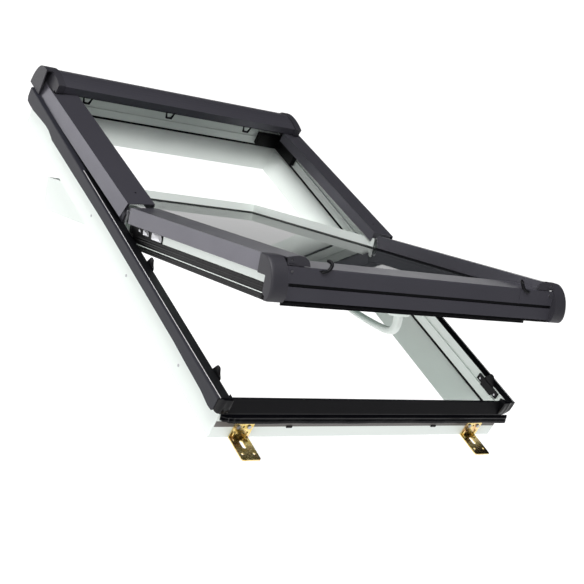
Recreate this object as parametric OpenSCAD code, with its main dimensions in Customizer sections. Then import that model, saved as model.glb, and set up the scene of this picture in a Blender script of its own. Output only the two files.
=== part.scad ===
// Centre-pivot roof window: frame, tilting sash, outer covers, handle and fixing brackets.
// X is across the window, Y runs up the roof slope, Z points out of the roof.

/* [Frame] */
// Width of the frame
frame_w = 780; // [550:1:1140]
// Length of the frame up the slope
frame_h = 1180; // [980:1:1600]
// Height of the jamb walls above the mounting plane
frame_t = 100; // [96:0.5:104]
// Thickness of the frame bars at the mounting plane
frame_base = 56; // [50:1:57]
// Height of the white sill front below the apron band
sill_front = 28; // [20:1:32]
// Height of the band between sill front and apron
band_h = 13.8; // [8:0.2:16]
// Sheet thickness of the outer covers
sheet = 1.5; // [1:0.1:2]

/* [Side strips] */
// Distance the strips stand out from the frame sides
strip_out = 21; // [12:1:30]
// Depth of the hanging lip of the strips
strip_drop = 26.5; // [20:0.5:34]
// Extra depth of the lobes near the upper end
lobe = 9; // [0:0.5:14]

/* [Hood] */
// Rise of the hood lip above the jamb walls
hood_rise = 41; // [40:0.5:46]
// Height of the hood lip
lip_h = 20; // [12:1:26]
// Distance from the frame's edge to the right end of the hood
hood_short = 18; // [8:1:24]
// Length of each hood end cap
hood_cap_w = 20; // [14:1:40]
// Width of the loop clips under the hood
clip_w = 32; // [20:1:44]

/* [Sash] */
// Opening angle of the sash when its joint is at zero
open_deg = 25.4; // [0:0.1:90]
// Height of the pivot above the mounting plane
pivot_z = 125; // [124:0.5:126]
// Thickness of each glass pane
pane = 4; // [3:0.5:5]
// Thickness of the whole glazing unit
glazing = 24; // [20:0.5:24]
// Gap between the sash and the jamb at the lower half
sash_gap = 6; // [5:0.5:8]
// Height of the side covers of the sash
side_cover_h = 34; // [30:0.5:35]
// Width of the corner caps
cap_w = 38; // [30:1:44]

/* [Handle] */
// Length of the handle lever
lever_l = 150; // [100:1:180]
// Length of the handle neck
neck_l = 54; // [30:1:60]
// Tilt of the lever towards the glass
lever_tilt = 7; // [0:1:12]

/* [Brackets] */
// Width of a bracket
bracket_w = 46; // [40:1:60]
// Reach of the bracket foot
bracket_l = 66; // [50:1:90]
// Distance of each bracket's centre from the frame corner
bracket_in = 70; // [60:1:110]
// Bracket sheet thickness
bracket_t = 2.5; // [2:0.1:4]
// Radius of the screw slot in the bracket foot
slot_r = 4.5; // [3:0.25:5]
// Length of that slot
slot_l = 22; // [14:1:24]
// Distance of the slot from the frame
slot_y = 23; // [19:1:30]

/* [Hinge] */
// Radius of the hinge pin
pin_r = 5; // [4:0.25:6]
// Running clearance round the hinge pin and handle spindle
run = 0.06; // [0.03:0.01:0.1]

/* [Hidden] */
$fn = 48;

hw = frame_w / 2;
hh = frame_h / 2;
far = 400;
white = [0.87, 0.9, 0.87];
dark = [0.2, 0.2, 0.23];
black = [0.03, 0.03, 0.03];
steel = [0.75, 0.75, 0.76];
// sash outer faces: wide below the pivot, narrow above it so it swings through the frame
sx = hw - 7 - sash_gap;
sb = -hh + 17;
ux = hw - frame_base - 3;
uy = hh - frame_base + 6;
gz = 111;
gb = gz - glazing;
ge = ux - 3.5;
wall_z = 118;
side_at = [-0.7, -0.19, 0.2];
split_y = -20;
// covers: inner and outer edges and the start of each one beside the pivot
cx_out = hw + 10;
cx_in = ux - 6;
cover_low = 36;
cover_tilt = asin(16.6 / (hh - 88));
front_y = -hh - 12;
cap_x = cx_out + 5 - cap_w;
// the head brackets sit further in, by the distance between the two small holes of a foot
head_in = bracket_w - 18;

function unit(a) = a / norm(a);
function turn(a, b) = let (d = unit(b - a)) [-d[1], d[0]];
function shifted(p, t) = [for (i = [0:len(p) - 1])
  let (n0 = i > 0 ? turn(p[i - 1], p[i]) : turn(p[0], p[1]),
       n1 = i < len(p) - 1 ? turn(p[i], p[i + 1]) : n0)
  p[i] + t * (n0 + n1) / (1 + n0 * n1)];
function reversed(p) = [for (i = [len(p) - 1:-1:0]) p[i]];
function folded(p, t) = concat(p, reversed(shifted(p, t)));
function bez(a, b, c, d, n = 8) = [for (i = [1:n]) let (t = i / n)
  a * pow(1 - t, 3) + b * 3 * t * pow(1 - t, 2) + c * 3 * t * t * (1 - t) + d * pow(t, 3)];
function inset(p, e) = [for (q = p) [e - q[0], q[1]]];
function outset(p, e) = [for (q = p) [e + q[0], q[1]]];

module along_x(pts, x0, x1) { translate([x0, 0, 0]) rotate([90, 0, 90]) linear_extrude(height = x1 - x0) polygon(pts); }
module along_y(pts, y0, y1) { translate([0, y1, 0]) rotate([90, 0, 0]) linear_extrude(height = y1 - y0) polygon(pts); }
module plan(pts, z0 = -150, z1 = 300) { translate([0, 0, z0]) linear_extrude(height = z1 - z0) polygon(pts); }
module block(a, b) { translate(a) cube(b - a); }
module side(s) { if (s < 0) mirror([1, 0, 0]) children(); else children(); }
module sash_pose() { translate([0, 0, pivot_z]) rotate([-open_deg, 0, 0]) translate([0, 0, -pivot_z]) children(); }
module rod_x(x0, x1, y, z, r) { translate([x0, y, z]) rotate([0, 90, 0]) cylinder(h = x1 - x0, r = r); }
module rod_y(x, y0, y1, z, r) { translate([x, y1, z]) rotate([90, 0, 0]) cylinder(h = y1 - y0, r = r); }
module rod_z(x, y, z0, z1, r) { translate([x, y, z0]) cylinder(h = z1 - z0, r = r); }

// ---- frame bars: upright outer wall, splayed inner face, groove for the seal ----
jamb_sec = [[0, 0], [frame_base, 0], [10.5, 50], [6, 50], [6, 56], [10, 56], [10, 78], [7, 78], [7, frame_t], [0, frame_t]];
sill_sec = [[0, 0], [frame_base, 0], [10.5, 50], [6, 50], [6, 56], [12.5, 56], [12.5, frame_t - 10], [10, frame_t - 10], [0, 64], ];
module jamb(s) {
  color(white) side(s) intersection() {
    along_y(inset(jamb_sec, hw), -hh, hh);
    plan([[hw, -hh], [hw, hh], [hw - far / 2, hh - far / 2], [hw - far / 2, -hh + far / 2]]);
    difference() {
      block([0, -hh, -1], [hw, hh, frame_t]);
      for (y = side_at) rod_x(hw - 12.5, hw + 5, y * hh, 31, 2.05);
      for (y = [38, 96]) rod_x(hw - 9, hw - 2.5, -hh + y, 88.5, 2.55);
    }
  }
}
module frame_jamb_left() { jamb(-1); }
module frame_jamb_right() { jamb(1); }
module frame_head() {
  color(white) intersection() {
    along_x(inset(jamb_sec, hh), -hw, hw);
    plan([[-hw, hh], [hw, hh], [hw - far / 2, hh - far / 2], [-hw + far / 2, hh - far / 2]]);
    difference() {
      block([-hw, 0, -1], [hw, hh, frame_t]);
      for (s = [-1, 1]) side(s) for (x = [-13, 13]) rod_y(hw - bracket_in - head_in + x, hh - 14.5, hh + 5, 30, 2.45);
    }
  }
}
module frame_sill() {
  color(white) intersection() {
    along_x(outset(sill_sec, -hh), -hw, hw);
    plan([[-hw, -hh], [hw, -hh], [hw - far / 2, -hh + far / 2], [-hw + far / 2, -hh + far / 2]]);
    difference() {
      block([-hw, -hh, -1], [hw, 0, frame_t]);
      for (s = [-1, 1]) side(s) for (x = [-13, 13]) rod_y(hw - bracket_in + x, -hh - 5, -hh + 14.5, 30, 2.45);
    }
  }
}
// one closed seal in the groove of all four bars
module frame_gasket() {
  color(black) difference() {
    block([-hw + 6, -hh + 6, 50.2], [hw - 6, hh - 6, 55.8]);
    block([-hw + 12.5, -hh + 12.5, 0], [hw - 12.5, hh - 12.5, 90]);
  }
}
// black cover over the sloping top of the sill
module sill_cap() {
  z = frame_t - 10;
  color(black) union() {
    along_x(outset([[0, 64], [10, z], [12.5, z], [12.5, z - 8], [14, z - 8], [14, z + 1.5],
      [9, z + 1.5], [-1.5, 64.2], [-1.5, 61], [0, 61]], -hh), -hw + 14.3, hw - 14.3);
    for (s = [-1, 1]) side(s) intersection() {
      along_x(outset([[0, 61], [0, 64], [10, z], [14.5, z], [14.5, frame_t - 0.4], [-1.5, frame_t - 0.4], [-1.5, 61]], -hh), 0, hw);
      plan([[hw, -hh - 2], [hw, -hh], [hw - 14.5, -hh + 14.5], [hw - 14.5, -hh - 2]]);
    }
  }
}
module sill_band() {
  color([0.42, 0.41, 0.39]) difference() {
    block([-hw + 2, -hh - 0.8, sill_front], [hw - 2, -hh, sill_front + band_h]);
    for (s = [-1, 1]) side(s) for (x = [-13, 13]) rod_y(hw - bracket_in + x, -hh - 5, -hh + 5, 30, 2.45);
  }
}
module sill_apron() {
  z = sill_front + band_h;
  color(black) along_x(outset([[0, 60.7], [-1.6, 60.7], [-4.5, 54], [-7.5, z + 1], [-7.5, z - 0.5], [-5.5, z - 0.5],
    [-4.9, z + 1], [-2, 52], [0, 56]], -hh), -hw + 4, hw + strip_out);
}
module apron_clips() {
  color(black) for (x = [-0.53 * hw, 0.5 * hw])
    block([x - 7, -hh - 3, sill_front - 2], [x + 7, -hh - 0.8, sill_front + 2.5]);
}
module side_screws() {
  color(steel) for (s = [-1, 1]) for (y = side_at) side(s) union() {
    rod_x(hw - 12, hw + 0.1, y * hh, 31, 2);
    rod_x(hw, hw + 0.8, y * hh, 31, 3.2);
  }
}

// ---- side strips: flange on the jamb, lip hanging outside with a lobed lower edge ----
module strip(s) {
  o = hw + strip_out;
  zt = frame_t + sheet;
  zb = zt - strip_drop;
  color(dark) side(s) intersection() {
    along_y(folded(concat([[o, zb - 20], [o, zt - 5]], bez([o, zt - 5], [o, zt - 2], [o - 2, zt], [o - 5, zt], 5),
      [[hw - 7, zt]]), sheet), -hh + 0.5, hh - 0.5);
    along_x([[-hh, 0.1 + zb - lobe * 0.4], [-hh + 4, zb - lobe * 0.85], [-hh + 19, zb - lobe], [-hh + 57, zb - lobe * 0.45],
      [-hh + 142, zb - 2], [-hh + 200, zb], [30, zb], [202, zb - 0.45 * lobe], [hh - 204, zb - lobe * 0.95],
      [hh - 187, zb - 0.5 * lobe], [hh - 169, zb - 1], [hh - 145, zb - 1.3], [hh - 118, zb - 4], [hh - 55, zb - 1.3 * lobe],
      [hh - 28, zb - 1.4 * lobe], [hh - 6, zb - 1.2 * lobe], [hh, zb], [hh, zt + 1], [-hh, zt + 1]], 0, hw + far);
  }
}
module side_strip_left() { strip(-1); }
module side_strip_right() { strip(1); }

// ---- covers beside the upper half of the sash, fixed to the frame ----
module upper_cover(s) {
  z0 = pivot_z - 9;
  top = hh - frame_base - 32;
  color(dark) side(s) difference() {
    rotate([-cover_tilt, 0, 0]) union() {
      along_y(folded([[cx_out, z0], [cx_out - 8, z0 + 36], [cx_in, z0 + 41.7], [cx_in, z0 + 14.7]], sheet), -14, top);
      along_y([[hw - 5, z0 - 40], [hw - 3, z0 - 40], [hw - 3, z0 + 36], [hw - 5, z0 + 36]], -10, top);
      intersection() {
        along_y(folded([[cx_out, z0], [cx_out - 8, z0 + 36], [cx_in, z0 + 41.7]], sheet), top - 5, hh - 30);
        block([hw - (s < 0 ? 0.5 : 9), 0, 0], [far * 2, far * 2, far]);
      }
    }
    block([0, -hh, -50], [hw + far, hh, frame_t + sheet]);
    rotate([-cover_tilt, 0, 0]) rod_z(cx_in + 29, 34, z0 + 30, z0 + 60, 2.6);
  }
}
module upper_cover_left() { upper_cover(-1); }
module upper_cover_right() { upper_cover(1); }
module cover_screws() {
  z0 = pivot_z - 9;
  color(black) for (s = [-1, 1]) side(s) rotate([-cover_tilt, 0, 0]) rod_z(cx_in + 29, 34, z0 + 34.5, z0 + 38.4, 2.5);
}

// ---- hood over the head ----
hy = hh - 90;
hz = frame_t + hood_rise;
hood_path = concat([[hy + 3, hz], [hy, hz + lip_h]],
  bez([hy, hz + lip_h], [hy + 20, hz + lip_h + 7], [hy + 60, hz + lip_h + 13], [hh - 5, hz + lip_h + 2.4]),
  bez([hh - 5, hz + lip_h + 2.4], [hh + 10, hz + lip_h - 4.4], [hh + 23, hz - 11], [hh + 25, frame_t]));
hood_l = -hw + 2;
hood_r = hw - hood_short;
module hood() {
  color(dark) union() {
    along_x(folded(hood_path, -2), hood_l + hood_cap_w - 9, hood_r - hood_cap_w + 9);
    along_x([[hh - 6, frame_t], [hh - 4, frame_t], [hh - 4, hz + lip_h + 1.5], [hh - 6, hz + lip_h + 1.5]], hood_l + 12, hood_r - 6);
  }
}
// shell over the end of the hood, with a wall from x0 to x0 + 3
module hood_end(x0, x1, w0) {
  difference() {
    along_x(concat(shifted(hood_path, 3.4), reversed(shifted(hood_path, 0.2))), x0, x1);
    block([-far * 2, hy, 0], [far * 2, hh + 60, frame_t + 1.8]);
  }
  difference() {
    along_x(concat(shifted(hood_path, 1), [[hh + 24, frame_t + 1.8], [hy + 6, frame_t + 1.8]]), w0, w0 + 3);
    block([-far * 2, hy, 0], [far * 2, hh + 60, frame_t + 1.8]);
    block([-far * 2, hy, 0], [far * 2, hy + 12, hz + 0.2]);
  }
}
module hood_cap_left() {
  color(dark) union() {
    hood_end(hood_l, hood_l + hood_cap_w, hood_l);
    intersection() {
      hood_end(-cx_out - 5, hood_l + 3, -cx_out - 5);
      block([-far * 2, hy + 52, 0], [far, hh + 60, far]);
    }
  }
}
module hood_cap_right() {
  color(dark) union() {
    hood_end(hood_r - hood_cap_w, hood_r, hood_r - 3);
    along_x([[hh - 3.8, frame_t + 1.8], [hh + 20, frame_t + 1.8], [hh + 20, frame_t + 4], [hh - 3.8, frame_t + 4]], hood_r - 3, hood_r + 12);
  }
}
module hood_clips() {
  w = clip_w / 2;
  color(black) for (x = [-0.755, -0.128, 0.513]) translate([x * hw, 0, 0]) difference() {
    along_y([[-w, hz + 9], [w, hz + 9], [w * 0.56, hz - 20], [-w * 0.56, hz - 20]], hy + 5.2, hy + 9);
    along_y([[-w + 5, hz - 2], [w - 5, hz - 2], [w * 0.35, hz - 16], [-w * 0.35, hz - 16]], hy, hy + 20);
  }
}
module corner_block(s) {
  color(black) side(s) difference() {
    block([hw - 92, hh - 120, 60], [hw - 10, hh - 10, frame_t - 4]);
    block([hw - 100, hh - 130, 0], [hw - 24, hh - 26, frame_t]);
    block([hw - 100, hh - 130, 0], [hw - 24, hh - 40, frame_t]);
  }
}
module corner_block_left() { corner_block(-1); }
module corner_block_right() { corner_block(1); }

// ---- guide blocks low on the jambs ----
module striker(s) {
  color(black) side(s) difference() {
    union() {
      block([hw - 11.2, -hh + 30, 83], [hw - 7, -hh + 105, 97]);
      block([hw - 11.2, -hh + 48, 78.1], [hw - 7, -hh + 87, 90]);
    }
    rod_x(hw - 20, hw - 6, -hh + 38, 88.5, 2.6);
    rod_x(hw - 20, hw - 6, -hh + 96, 88.5, 2.6);
  }
}
module striker_left() { striker(-1); }
module striker_right() { striker(1); }
module striker_screws() {
  color(steel) for (s = [-1, 1]) side(s) for (y = [38, 96]) rod_x(hw - 11, hw - 3, -hh + y, 88.5, 2.5);
}

// ---- hinges ----
module hinge_plate(s) {
  color(steel) side(s) difference() {
    union() {
      block([hw - 10, -60, 79], [hw - 7, 60, frame_t]);
      block([hw - 10, -13, frame_t - 1], [hw - 7, 13, pivot_z]);
      rod_x(hw - 10, hw - 7, 0, pivot_z, 13);
    }
    rod_x(hw - 20, hw, 0, pivot_z, pin_r);
  }
}
module hinge_plate_left() { hinge_plate(-1); }
module hinge_plate_right() { hinge_plate(1); }
module hinge_pin(s) {
  color(steel) side(s) union() {
    rod_x(hw - 38, hw - 5.5, 0, pivot_z, pin_r);
    rod_x(hw - 7, hw - 5.2, 0, pivot_z, pin_r + 3);
    rod_x(hw - 13.5, hw - 10, 0, pivot_z, pin_r + 2);
  }
}
module hinge_pin_left() { hinge_pin(-1); }
module hinge_pin_right() { hinge_pin(1); }
// arm on the sash: foot plate on the stile, eye on the pin
module hinge_arm(s) {
  x0 = hw - 34;
  x1 = hw - 15;
  color(steel) side(s) sash_pose() difference() {
    union() {
      block([x0, -120, 102], [x1, -12, 107]);
      block([x0, -22, 102], [x1, 4, pivot_z - 4]);
      rod_x(x0, x1, 0, pivot_z, pin_r + 5);
    }
    rod_x(x0 - 5, x1 + 5, 0, pivot_z, pin_r + run);
    rod_z((x0 + x1) / 2, -104, 90, 120, 2.2);
    rod_z((x0 + x1) / 2, -60, 90, 120, 2.2);
  }
}
module hinge_arm_left() { hinge_arm(-1); }
module hinge_arm_right() { hinge_arm(1); }

// ---- fixing brackets ----
module bracket(s, e) {
  t = bracket_t;
  xc = hw - bracket_in - (e > 0 ? head_in : 0);
  w = bracket_w / 2;
  color([0.72, 0.6, 0.3]) side(s) mirror([0, e > 0 ? 1 : 0, 0]) translate([xc, -hh - 0.9, 0]) difference() {
    union() {
      block([-w, -t, 0], [w, 0, sill_front + band_h - 3]);
      intersection() {
        block([-w, -bracket_l, 0], [w, 0, t]);
        plan([[-w, 0], [w, 0], [w, -bracket_l + 3], [w - 3, -bracket_l], [-w + 3, -bracket_l], [-w, -bracket_l + 3]]);
      }
      for (x = [-w + 8, w - 8]) rod_y(x, -14, 0, 1.8, 2.8);
      for (x = [-w + 8, w - 8]) rod_z(x, -t + 0.4, 1, 16, 2.4);
    }
    block([-w - 5, -bracket_l - 5, -9], [w + 5, 5, 0]);
    block([-w - 5, 0, -9], [w + 5, 9, 60]);
    translate([0, -slot_y, 0]) {
      block([-slot_r, -slot_l / 2 + slot_r, -9], [slot_r, slot_l / 2 - slot_r, 9]);
      for (y = [-1, 1]) rod_z(0, y * (slot_l / 2 - slot_r), -9, 9, slot_r);
    }
    for (x = [-w + 9, w - 9]) rod_z(x, -bracket_l + 17, -9, 9, 2.75);
    for (x = [-13, 0, 13]) rod_y(x, -30, 9, 30, 2.5);
  }
}
module bracket_sill_left() { bracket(-1, -1); }
module bracket_sill_right() { bracket(1, -1); }
module bracket_head_left() { bracket(-1, 1); }
module bracket_head_right() { bracket(1, 1); }
module bracket_screws() {
  color(steel) for (s = [-1, 1]) for (e = [0, 1]) side(s) mirror([0, e, 0]) for (x = [-13, 13])
    translate([hw - bracket_in - e * head_in + x, 0, 0]) union() {
      rod_y(0, -hh - 4.5 - bracket_t + 1.2, -hh - 0.9 - bracket_t, 30, 4.4);
      rod_y(0, -hh - 0.9 - bracket_t, -hh + 14, 30, 2.4);
    }
}

// ---- sash bars ----
low_sec = [[0, 102], [0, 84], [3, 84], [3, 68], [0, 68], [0, 63], [7, 63], [7, 50], [sx - ge + 11.5, 50], [sx - ge + 17.5, 56],
  [sx - ge + 17.5, gb], [sx - ux + 0.5, gb], [sx - ux + 0.5, wall_z], [sx - ux - 14, wall_z], [sx - ux - 14, 102]];
up_sec = [[0, pivot_z + 10], [0, 50], [15, 50], [21, 56], [21, gb], [3, gb], [3, pivot_z + 10]];
module stile(s) {
  color(white) side(s) sash_pose() difference() {
    union() {
      intersection() {
        along_y(inset(low_sec, sx), sb, split_y);
        plan([[sx, sb], [sx, split_y], [sx - far / 2, split_y], [sx - far / 2, sb + far / 2]]);
      }
      intersection() {
        along_y(inset(up_sec, ux), split_y, uy);
        plan([[ux, split_y], [ux, uy], [ux - far / 2, uy - far / 2], [ux - far / 2, split_y]]);
      }
    }
    block([0, -40, 102.2], [sx + 5, split_y, far]);
    for (y = [-104, -60]) rod_z(hw - 24.5, y, 90, 120, 2.2);
  }
}
module sash_stile_left() { stile(-1); }
module sash_stile_right() { stile(1); }
module sash_top_rail() {
  color(white) sash_pose() intersection() {
    along_x(inset(up_sec, uy), -ux, ux);
    plan([[-ux, uy], [ux, uy], [ux - far / 2, uy - far / 2], [-ux + far / 2, uy - far / 2]]);
  }
}
module sash_bottom_rail() {
  color(white) sash_pose() intersection() {
    along_x(outset(low_sec, sb), -sx, sx);
    plan([[-sx, sb], [sx, sb], [sx - far / 2, sb + far / 2], [-sx + far / 2, sb + far / 2]]);
  }
}
// rubber seal round the outside of the lower half
module sash_gasket() {
  color(black) sash_pose() difference() {
    union() {
      for (s = [-1, 1]) side(s) union() {
        block([sx - 2.9, sb - 0.4, 68.1], [sx + 1.2, split_y, 83.9]);
        block([sx - 6.9, sb + 1.6, 50.4], [sx - 0.4, split_y, 62.9]);
        block([sx + 0.1, split_y - 150, 83], [sx + 1.2, split_y, 101.6]);
      }
      block([-sx - 1.2, sb - 0.4, 68.1], [sx + 1.2, sb + 2.9, 83.9]);
      block([-sx + 0.4, sb + 1.6, 50.4], [sx - 0.4, sb + 6.9, 62.9]);
    }
    for (s = [-1, 1]) side(s) block([sx + 0.5, -hh, 74.5], [sx + 5, 10, 77.5]);
  }
}

// ---- glazing ----
gy0 = sb + (sx - ge);
gy1 = uy - 3.5;
module glass_outer() { color([0.7, 0.75, 0.74, 0.4]) sash_pose() block([-ge, gy0, gz - pane], [ge, gy1, gz]); }
module glass_inner() { color([0.7, 0.75, 0.74, 0.4]) sash_pose() block([-ge, gy0, gb], [ge, gy1, gb + pane]); }
module glass_spacer() {
  color([0.3, 0.3, 0.3]) sash_pose() difference() {
    block([-ge + 2, gy0 + 2, gb + pane], [ge - 2, gy1 - 2, gz - pane]);
    block([-ge + 14, gy0 + 14, 0], [ge - 14, gy1 - 14, far]);
  }
}
// outer bead seal lying on the glass edge
module glass_bead() {
  color(black) sash_pose() difference() {
    block([-ge + 0.5, gy0 + 0.5, gz], [ge - 0.5, gy1 - 0.3, gz + 3.6]);
    block([-ge + 9, gy0 + 9, 0], [ge - 9, gy1 - 9, far]);
    for (s = [-1, 1]) side(s) block([cx_in - 0.6, -hh, gz - 1], [ux, -cover_low + 12, gz + 9]);
    for (s = [-1, 1]) side(s) block([cx_in - 0.6, -hh, gz + 1.6], [cx_in + 2.1, hh, gz + 9]);
    block([-hw, gy0 - 9, gz - 1], [hw, gy0 + 3.2, gz + 9]);
  }
}

// ---- covers beside the lower half of the sash ----
module lower_cover(s) {
  zt = 105 + side_cover_h;
  color(dark) side(s) sash_pose() difference() {
    union() {
      along_y(folded([[cx_out, 105], [cx_out - 8, zt], [cx_in, zt + 5.7], [cx_in, gz + 1]], sheet), -hh - 8, -cover_low);
      along_y([[ux + 7, wall_z], [ux + 9, wall_z], [ux + 9, zt + 4], [ux + 7, zt + 4]], -hh + 62, -cover_low - 40);
    }
    along_x([[-cover_low, 160], [-cover_low, zt], [-cover_low - 13, 104], [-cover_low - 13, 90], [20, 90], [20, 160]], 0, far * 2);
    block([cap_x - 0.2, -hh - 20, 90], [far * 2, -hh + 24.3, 200]);
    block([cx_in - 1, -hh - 20, 90], [cx_in + 2, gy0 + 1.5, wall_z + 0.3]);
  }
}
module lower_cover_left() { lower_cover(-1); }
module lower_cover_right() { lower_cover(1); }
// rounded plate that closes the lower end of a side cover
module cover_end(s) {
  zt = 105 + side_cover_h;
  x1 = cap_x - 0.2;
  color(dark) side(s) sash_pose() difference() {
    along_y(concat([[cx_in - 12, 127.4]], bez([cx_in - 12, 127.4], [cx_in - 10, 138], [cx_in - 2, zt + 7.2], [cx_in + 18, zt + 7.2]),
      [[x1, zt + 3], [x1, 127.4]]), front_y + 0.5, -hh - 8);
    rod_y(cap_x - 10, front_y - 5, -hh + 5, zt - 2, 2.4);
    block([cap_x - 22, front_y - 5, zt - 9.5], [cap_x - 3, front_y + 1.3, zt - 8]);
  }
}
module cover_end_left() { cover_end(-1); }
module cover_end_right() { cover_end(1); }

// ---- bottom covers of the sash, hooked over the sill ----
module bottom_carrier() {
  y = front_y + sheet;
  color(black) sash_pose() along_x([[sb, 97], [sb, 101], [y + 2, 101], [y + 2, 118], [y, 118], [y, 62], [y + 2, 62], [y + 2, 97]],
    -cap_x - 4, cap_x + 4);
}
module bottom_cover_upper() {
  z = 93.5;
  color(dark) sash_pose() union() {
    along_x(folded([[front_y, z], [front_y, z + 30], [front_y + 2, z + 32.5], [gy0 + 1.5, z + 34.5], [gy0 + 1.5, gz + 0.6]], -sheet),
      -cx_in + 0.3, cx_in - 0.3);
    along_x(folded([[front_y, z], [front_y, z + 30], [front_y + 2, z + 32.5]], -sheet), -cap_x, cap_x);
    for (s = [-1, 1]) side(s) block([hw - 127, front_y - 1, z + 0.4], [cap_x, front_y, z + 31]);
    along_x([[sb + (sx - ux) - 9, wall_z], [sb + (sx - ux) - 7, wall_z], [sb + (sx - ux) - 7, z + 32.6], [sb + (sx - ux) - 9, z + 32.6]],
      -cx_in + 12, cx_in - 12);
  }
}
module bottom_cover_lower() {
  color(dark) sash_pose() along_x([[front_y, 61], [front_y + sheet, 61], [front_y + sheet, 87], [front_y, 87]], -cap_x, cap_x);
}
module bottom_rubber() {
  y = front_y;
  color(black) sash_pose() union() {
    block([-cap_x - 4, y + sheet, 56], [cap_x + 4, y + 2.8, 62]);
    block([-cap_x, y + 0.3, 50.5], [cap_x - 75, y + 2.8, 57]);
  }
}
// corner caps, open at the back so they close over the frame corner
module corner_cap(s) {
  x1 = cx_out + 5;
  o = -hh;
  color(dark) side(s) sash_pose() difference() {
    along_x(concat([[o + 24, 141.5]], bez([o + 24, 141.5], [o + 2, 141], [o - 20, 124], [o - 25, 98]),
      bez([o - 25, 98], [o - 29, 80], [o - 26, 62], [o - 16, 57]), [[o - 10, 57], [o - 10, 66], [o - 2, 70], [o - 2, 103.2], [o + 24, 103.2]]), cap_x, x1);
    along_x(concat([[o + 30, 146]], [[o + 30, 138.5]], bez([o + 22, 138.5], [o + 1, 138], [o - 18, 122], [o - 22, 98]),
      bez([o - 22, 98], [o - 26, 80], [o - 23, 65], [o - 15, 60.5]), [[o - 7, 50], [o + 10, 50], [o + 10, 103.2], [o + 30, 103.2]]),
      cap_x - 1, x1 - 2.6);
  }
  color(dark) side(s) sash_pose() intersection() {
    along_x(concat([[o + 24, 141.5]], bez([o + 24, 141.5], [o + 2, 141], [o - 20, 124], [o - 25, 98]),
      bez([o - 25, 98], [o - 29, 80], [o - 26, 62], [o - 16, 57]), [[o + 24, 57]]), cap_x, cap_x + 2);
    block([0, o - 60, 57], [far, front_y + 1.3, 139]);
  }
}
module corner_cap_left() { corner_cap(-1); }
module corner_cap_right() { corner_cap(1); }
module cap_screws() {
  zt = 105 + side_cover_h;
  color(steel) sash_pose() for (s = [-1, 1]) side(s) {
    rod_y(cap_x - 10, front_y + 1.5, -hh - 6, zt - 2, 2.3);
    rod_y(cap_x - 12, front_y - 2.2, front_y - 1, 116, 2.6);
  }
}

// ---- handle and locking ----
hnd_y = sb + 50;
module handle_plate() {
  color(white) sash_pose() difference() {
    translate([0, hnd_y, 43]) union() {
      block([-25, -11, 0], [25, 11, 7]);
      for (x = [-25, 25]) rod_z(x, 0, 0, 7, 11);
    }
    rod_z(0, hnd_y, 30, 60, 6 + run);
  }
}
module handle() {
  color(white) sash_pose() translate([0, hnd_y, 0]) union() {
    rod_z(0, 0, 40, 49.5, 6);
    rod_z(0, 0, 36 - neck_l, 42.7, 9.5);
    translate([0, 0, 43 - neck_l + 2]) rotate([lever_tilt, 0, 0]) union() {
      block([-9, 0, -9], [9, lever_l, 3]);
      translate([0, lever_l, -9]) cylinder(h = 12, r = 9);
    }
  }
}
module lock_bar(s) {
  color(steel) side(s) sash_pose() union() {
    block([hw - 27, -hh + 75, 102.4], [hw - 15, -150, 104.9]);
    rod_z(hw - 21, -hh + 90, 104.9, 111, 4);
    rod_z(hw - 21, -190, 104.9, 111, 4);
  }
}
module lock_bar_left() { lock_bar(-1); }
module lock_bar_right() { lock_bar(1); }
module bar_guides() {
  color(black) sash_pose() for (s = [-1, 1]) side(s) for (y = [-hh + 140, -220]) difference() {
    block([hw - 31, y, 102], [hw - 13.4, y + 14, 107.5]);
    block([hw - 27.4, y - 5, 102], [hw - 14.6, y + 20, 105.3]);
  }
}

frame_head();
frame_sill();
frame_jamb_left();
frame_jamb_right();
frame_gasket();
sill_cap();
sill_band();
sill_apron();
apron_clips();
side_screws();
side_strip_left();
side_strip_right();
upper_cover_left();
upper_cover_right();
cover_screws();
hood();
hood_cap_left();
hood_cap_right();
hood_clips();
corner_block_left();
corner_block_right();
striker_left();
striker_right();
striker_screws();
hinge_plate_left();
hinge_plate_right();
hinge_pin_left();
hinge_pin_right();
bracket_sill_left();
bracket_sill_right();
bracket_head_left();
bracket_head_right();
bracket_screws();
sash_stile_left();
sash_stile_right();
sash_top_rail();
sash_bottom_rail();
sash_gasket();
glass_outer();
glass_inner();
glass_spacer();
glass_bead();
lower_cover_left();
lower_cover_right();
cover_end_left();
cover_end_right();
bottom_carrier();
bottom_cover_upper();
bottom_cover_lower();
bottom_rubber();
corner_cap_left();
corner_cap_right();
cap_screws();
hinge_arm_left();
hinge_arm_right();
handle_plate();
handle();
lock_bar_left();
lock_bar_right();
bar_guides();
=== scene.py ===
"""Centre-pivot roof window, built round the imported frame.

Finishes, rounded plastic parts, rubber apron, handle and studio.
"""

import math

import bmesh
import bpy
import numpy as np
from bpy.props import FloatProperty, FloatVectorProperty, PointerProperty
from mathutils import Matrix, Vector


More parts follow.
